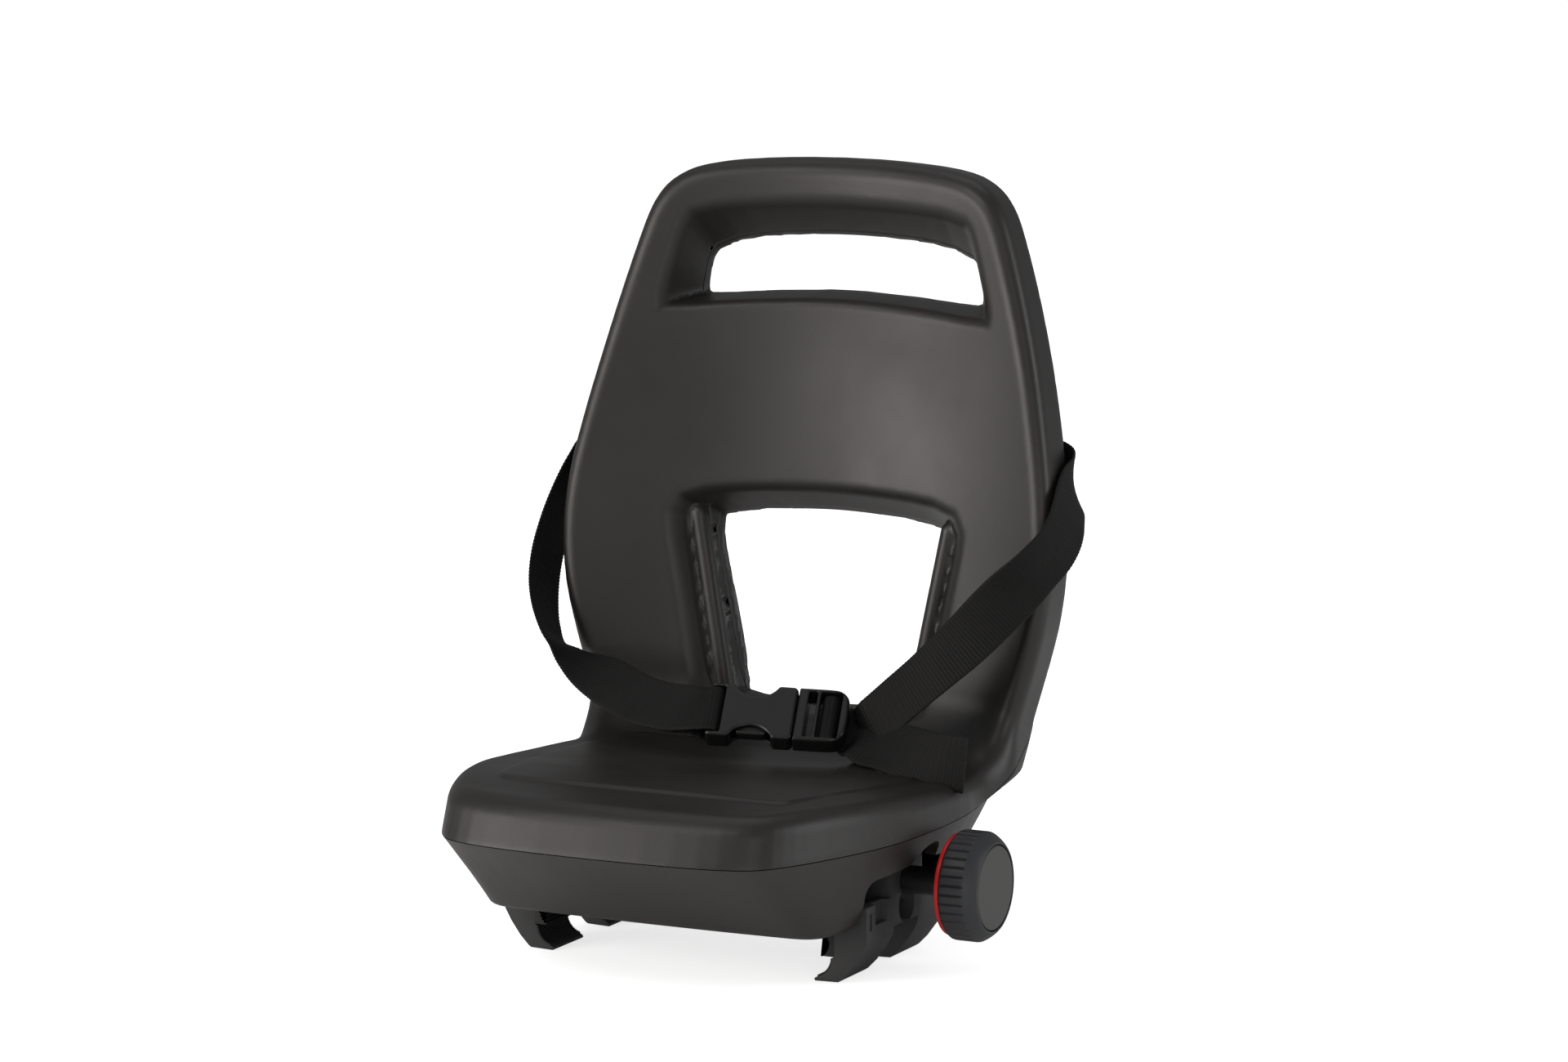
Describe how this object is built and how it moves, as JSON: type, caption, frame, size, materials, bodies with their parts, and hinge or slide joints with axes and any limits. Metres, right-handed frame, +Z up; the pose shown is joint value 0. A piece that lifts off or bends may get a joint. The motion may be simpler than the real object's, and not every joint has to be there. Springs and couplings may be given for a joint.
{
  "type": "rear child bike seat",
  "caption": "Moulded junior seat for a bicycle's rear carrier, with a lap belt, a handle opening and two clamp jaws drawn together by a side knob.",
  "frame": {"origin": "underside of the base where it sits on the carrier, on the middle plane, straight under the clamp spindle", "axes": "+X towards the knob, across the bicycle; +Y towards the rear of the bicycle, behind the backrest; +Z up"},
  "size_m": [0.3207, 0.3108, 0.411],
  "materials": {
    "shell_plastic": "fine grained, satin",
    "base_plastic": "fine grained, matt",
    "jaw_plastic": "smooth moulded, matt",
    "grip_rubber": "toothed, matt",
    "brass_nut": "machined",
    "spindle_steel": "threaded, zinc plated",
    "zinc_steel": "zinc plated",
    "black_plastic": "smooth, satin",
    "ring_plastic": "bright red",
    "knob_plastic": "fluted, matt",
    "cap_plastic": "turned look, satin",
    "webbing": "ribbed woven webbing",
    "buckle_plastic": "moulded, half gloss"
  },
  "bodies": {
    "seat": {"seat_shell": "shell_plastic", "back_shell": "base_plastic", "shell_screws": "zinc_steel", "bearing_block": "black_plastic", "block_screws": "zinc_steel", "strap_left": "webbing", "strap_right": "webbing", "anchor_bolts": "zinc_steel", "anchor_washers": "zinc_steel", "buckle_female": "buckle_plastic"},
    "screw": {"spindle": "spindle_steel", "sleeve": "black_plastic", "indicator_ring": "ring_plastic", "knob": "knob_plastic", "knob_nut": "zinc_steel", "knob_cap": "cap_plastic", "thrust_washers": "zinc_steel", "retaining_clips": "spindle_steel"},
    "jaw_l": {"jaw_left": "jaw_plastic", "grip_pads_left": "grip_rubber", "jaw_nut_left": "brass_nut"},
    "jaw_r": {"jaw_right": "jaw_plastic", "grip_pads_right": "grip_rubber", "jaw_nut_right": "brass_nut"},
    "tongue": {"buckle_male": "buckle_plastic"}
  },
  "joints": [
    {"name": "knob_turn", "type": "hinge", "parent": "seat", "child": "screw", "pos_m": [0, 0, 0.0173], "axis": [-1, 0, 0], "range_deg": [0, 2160]},
    {"name": "right_jaw_slide", "type": "slide", "parent": "seat", "child": "jaw_r", "axis": [-1, 0, 0], "range_m": [0, 0.024]},
    {"name": "left_jaw_slide", "type": "slide", "parent": "seat", "child": "jaw_l", "axis": [1, 0, 0], "range_m": [0, 0.024]},
    {"name": "buckle_pull", "type": "slide", "parent": "seat", "child": "tongue", "axis": [0.9505, 0.3088, -0.0349], "range_m": [0, 0.026], "deforming": ["strap_right"]}
  ],
  "couplings": [
    {"joint": "right_jaw_slide", "follows": "knob_turn", "m_per_rad": 0.0006366},
    {"joint": "left_jaw_slide", "follows": "knob_turn", "m_per_rad": 0.0006366}
  ]
}
